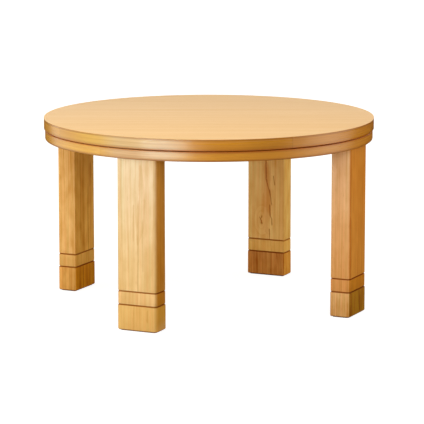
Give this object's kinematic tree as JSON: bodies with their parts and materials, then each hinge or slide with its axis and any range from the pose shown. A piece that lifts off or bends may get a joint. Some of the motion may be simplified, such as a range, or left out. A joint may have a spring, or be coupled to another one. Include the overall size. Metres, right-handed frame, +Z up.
{
  "type": "kotatsu table",
  "caption": "Round low wooden kotatsu table: loose tabletop on a base board with a flat heater underneath, wide legs and plug-in risers that set its height.",
  "frame": {"origin": "on the floor under the centre of the table", "axes": "+Z up, front leg on -Y, right leg on +X, back leg on +Y, left leg on -X"},
  "size_m": [0.75, 0.75, 0.429],
  "materials": {
    "top_veneer": "satin lacquered veneer",
    "board_core": "foil-faced board",
    "backing_sheet": "matt backing sheet",
    "top_rim_wood": "clear lacquer",
    "base_rim_wood": "clear lacquer",
    "leg_wood": "clear lacquer",
    "foot_wood": "clear lacquer",
    "grip_pad": "soft clear elastomer",
    "felt": "brown felt",
    "pin_steel": "plain steel",
    "zinc_steel": "zinc plated",
    "bracket_steel": "black powder coat",
    "nylon": "natural nylon",
    "tray_steel": "galvanised sheet",
    "glass_felt": "needled glass felt",
    "mica": "mica sheet",
    "ribbon_alloy": "resistance alloy",
    "radiator_aluminium": "mill finish",
    "flocked_steel": "dark flocked",
    "black_plastic": "heat-resistant moulding",
    "white_plastic": "moulded",
    "brass_pins": "plated",
    "thermostat_body": "phenolic and metal cap",
    "lead_sleeving": "glass-braid sleeving"
  },
  "bodies": {
    "frame": {"base_board": "board_core", "top_pads": "grip_pad", "leg_bolts": "zinc_steel", "leg_inserts": "zinc_steel", "leg_sleeves": "nylon", "leg_brackets": "bracket_steel", "bracket_screws": "zinc_steel", "heater_screws": "zinc_steel", "heater_tray": "tray_steel", "heater_insulation": "glass_felt", "heater_element_panel": "mica", "heater_ribbon": "ribbon_alloy", "heater_radiator_plate": "radiator_aluminium", "heater_guard": "flocked_steel", "power_inlet": "black_plastic", "inlet_pins": "brass_pins", "terminal_block": "white_plastic", "thermostat": "thermostat_body", "thermal_fuse": "thermostat_body", "heater_leads": "lead_sleeving", "base_edge_1": "base_rim_wood", "base_edge_2": "base_rim_wood", "base_edge_3": "base_rim_wood", "base_edge_4": "base_rim_wood", "leg_front": "leg_wood", "leg_right": "leg_wood", "leg_back": "leg_wood", "leg_left": "leg_wood"},
    "tabletop": {"tabletop_face": "top_veneer", "tabletop_core": "board_core", "tabletop_backing": "backing_sheet", "tabletop_edge_1": "top_rim_wood", "tabletop_edge_2": "top_rim_wood", "tabletop_edge_3": "top_rim_wood", "tabletop_edge_4": "top_rim_wood"},
    "short_riser_front_body": {"short_riser_front": "leg_wood", "short_riser_pins_front": "pin_steel", "short_riser_sleeves_front": "nylon"},
    "tall_riser_front_body": {"tall_riser_front": "foot_wood", "tall_riser_pins_front": "pin_steel", "foot_pad_front": "felt"},
    "short_riser_right_body": {"short_riser_right": "leg_wood", "short_riser_pins_right": "pin_steel", "short_riser_sleeves_right": "nylon"},
    "tall_riser_right_body": {"tall_riser_right": "foot_wood", "tall_riser_pins_right": "pin_steel", "foot_pad_right": "felt"},
    "short_riser_back_body": {"short_riser_back": "leg_wood", "short_riser_pins_back": "pin_steel", "short_riser_sleeves_back": "nylon"},
    "tall_riser_back_body": {"tall_riser_back": "foot_wood", "tall_riser_pins_back": "pin_steel", "foot_pad_back": "felt"},
    "short_riser_left_body": {"short_riser_left": "leg_wood", "short_riser_pins_left": "pin_steel", "short_riser_sleeves_left": "nylon"},
    "tall_riser_left_body": {"tall_riser_left": "foot_wood", "tall_riser_pins_left": "pin_steel", "foot_pad_left": "felt"}
  },
  "joints": [
    {"name": "tabletop_lift", "type": "slide", "parent": "frame", "child": "tabletop", "axis": [0, 0, 1], "range_m": [0, 0.12]},
    {"name": "short_riser_front_unplug", "type": "slide", "parent": "frame", "child": "short_riser_front_body", "axis": [0, 0, -1], "range_m": [0, 0.03]},
    {"name": "tall_riser_front_unplug", "type": "slide", "parent": "short_riser_front_body", "child": "tall_riser_front_body", "axis": [0, 0, -1], "range_m": [0, 0.03]},
    {"name": "short_riser_right_unplug", "type": "slide", "parent": "frame", "child": "short_riser_right_body", "axis": [0, 0, -1], "range_m": [0, 0.03]},
    {"name": "tall_riser_right_unplug", "type": "slide", "parent": "short_riser_right_body", "child": "tall_riser_right_body", "axis": [0, 0, -1], "range_m": [0, 0.03]},
    {"name": "short_riser_back_unplug", "type": "slide", "parent": "frame", "child": "short_riser_back_body", "axis": [0, 0, -1], "range_m": [0, 0.03]},
    {"name": "tall_riser_back_unplug", "type": "slide", "parent": "short_riser_back_body", "child": "tall_riser_back_body", "axis": [0, 0, -1], "range_m": [0, 0.03]},
    {"name": "short_riser_left_unplug", "type": "slide", "parent": "frame", "child": "short_riser_left_body", "axis": [0, 0, -1], "range_m": [0, 0.03]},
    {"name": "tall_riser_left_unplug", "type": "slide", "parent": "short_riser_left_body", "child": "tall_riser_left_body", "axis": [0, 0, -1], "range_m": [0, 0.03]}
  ]
}
